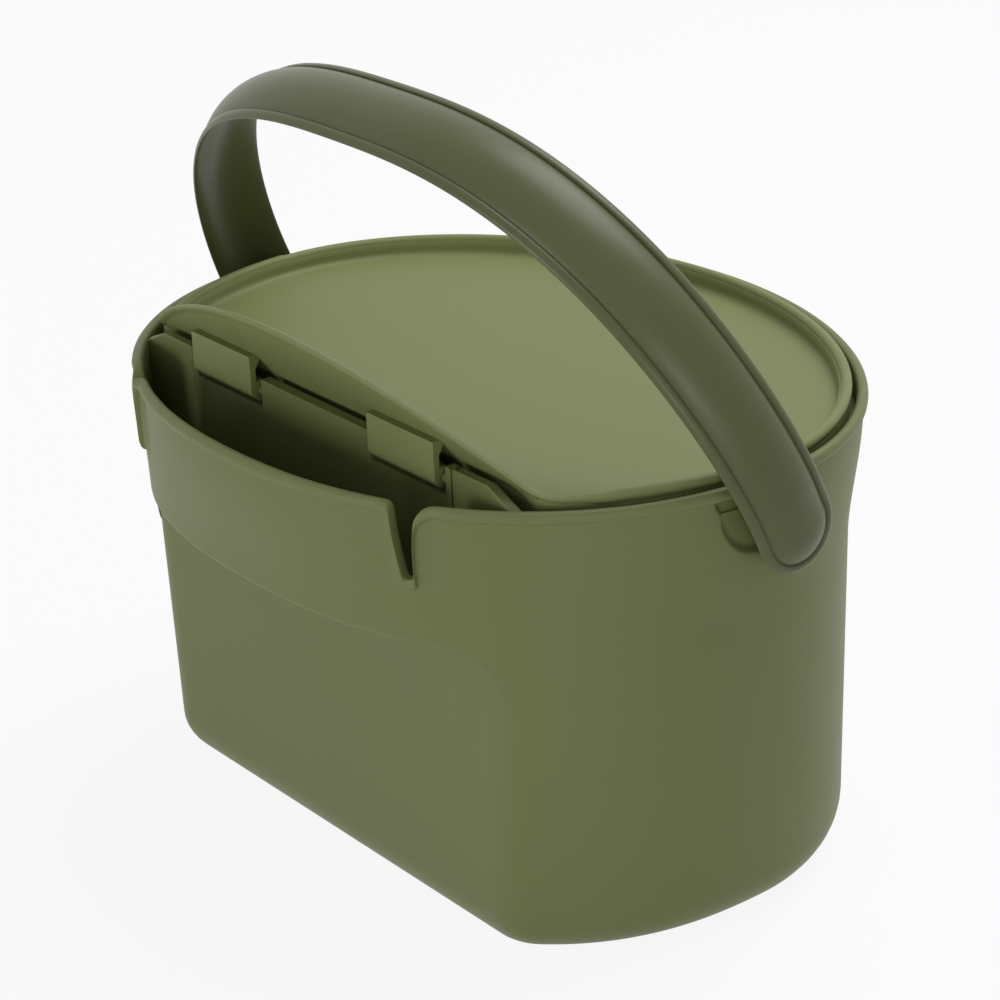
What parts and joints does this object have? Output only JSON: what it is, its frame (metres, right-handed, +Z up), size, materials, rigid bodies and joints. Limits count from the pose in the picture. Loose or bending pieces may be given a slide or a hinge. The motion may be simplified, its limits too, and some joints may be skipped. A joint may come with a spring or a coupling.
{
  "type": "bokashi bin",
  "caption": "Small oval kitchen bin with a front pocket, a hinged dished lid with a soft seal, a hooped carrying handle and a loose strainer for fermenting food scraps.",
  "frame": {"origin": "on the underside of the base, under the middle of the rim's oval", "axes": "+X along the handle's and the lid hinge's axes, +Y from the pocket side to the back, +Z up"},
  "size_m": [0.2594, 0.1977, 0.2349],
  "materials": {
    "body_plastic": "fine matt, olive green",
    "lid_plastic": "fine matt, olive green",
    "handle_plastic": "fine matt, olive green",
    "seal_rubber": "soft dark grey",
    "strainer_plastic": "matt olive green"
  },
  "bodies": {
    "bin": {"bin_body": "body_plastic", "hinge_panel": "body_plastic"},
    "lid": {"lid": "lid_plastic", "lid_seal": "seal_rubber"},
    "handle": {"handle": "handle_plastic"},
    "strainer": {"strainer": "strainer_plastic"}
  },
  "joints": [
    {"name": "lid_hinge", "type": "hinge", "parent": "bin", "child": "lid", "pos_m": [0, -0.0683, 0.1415], "axis": [1, 0, 0], "range_deg": [0, 22]},
    {"name": "handle_hinge", "type": "hinge", "parent": "bin", "child": "handle", "pos_m": [0, -0.0033, 0.134], "axis": [1, 0, 0], "range_deg": [-125, 64]},
    {"name": "strainer_lift", "type": "slide", "parent": "bin", "child": "strainer", "axis": [0, 0, 1], "range_m": [0, 0.1]}
  ]
}
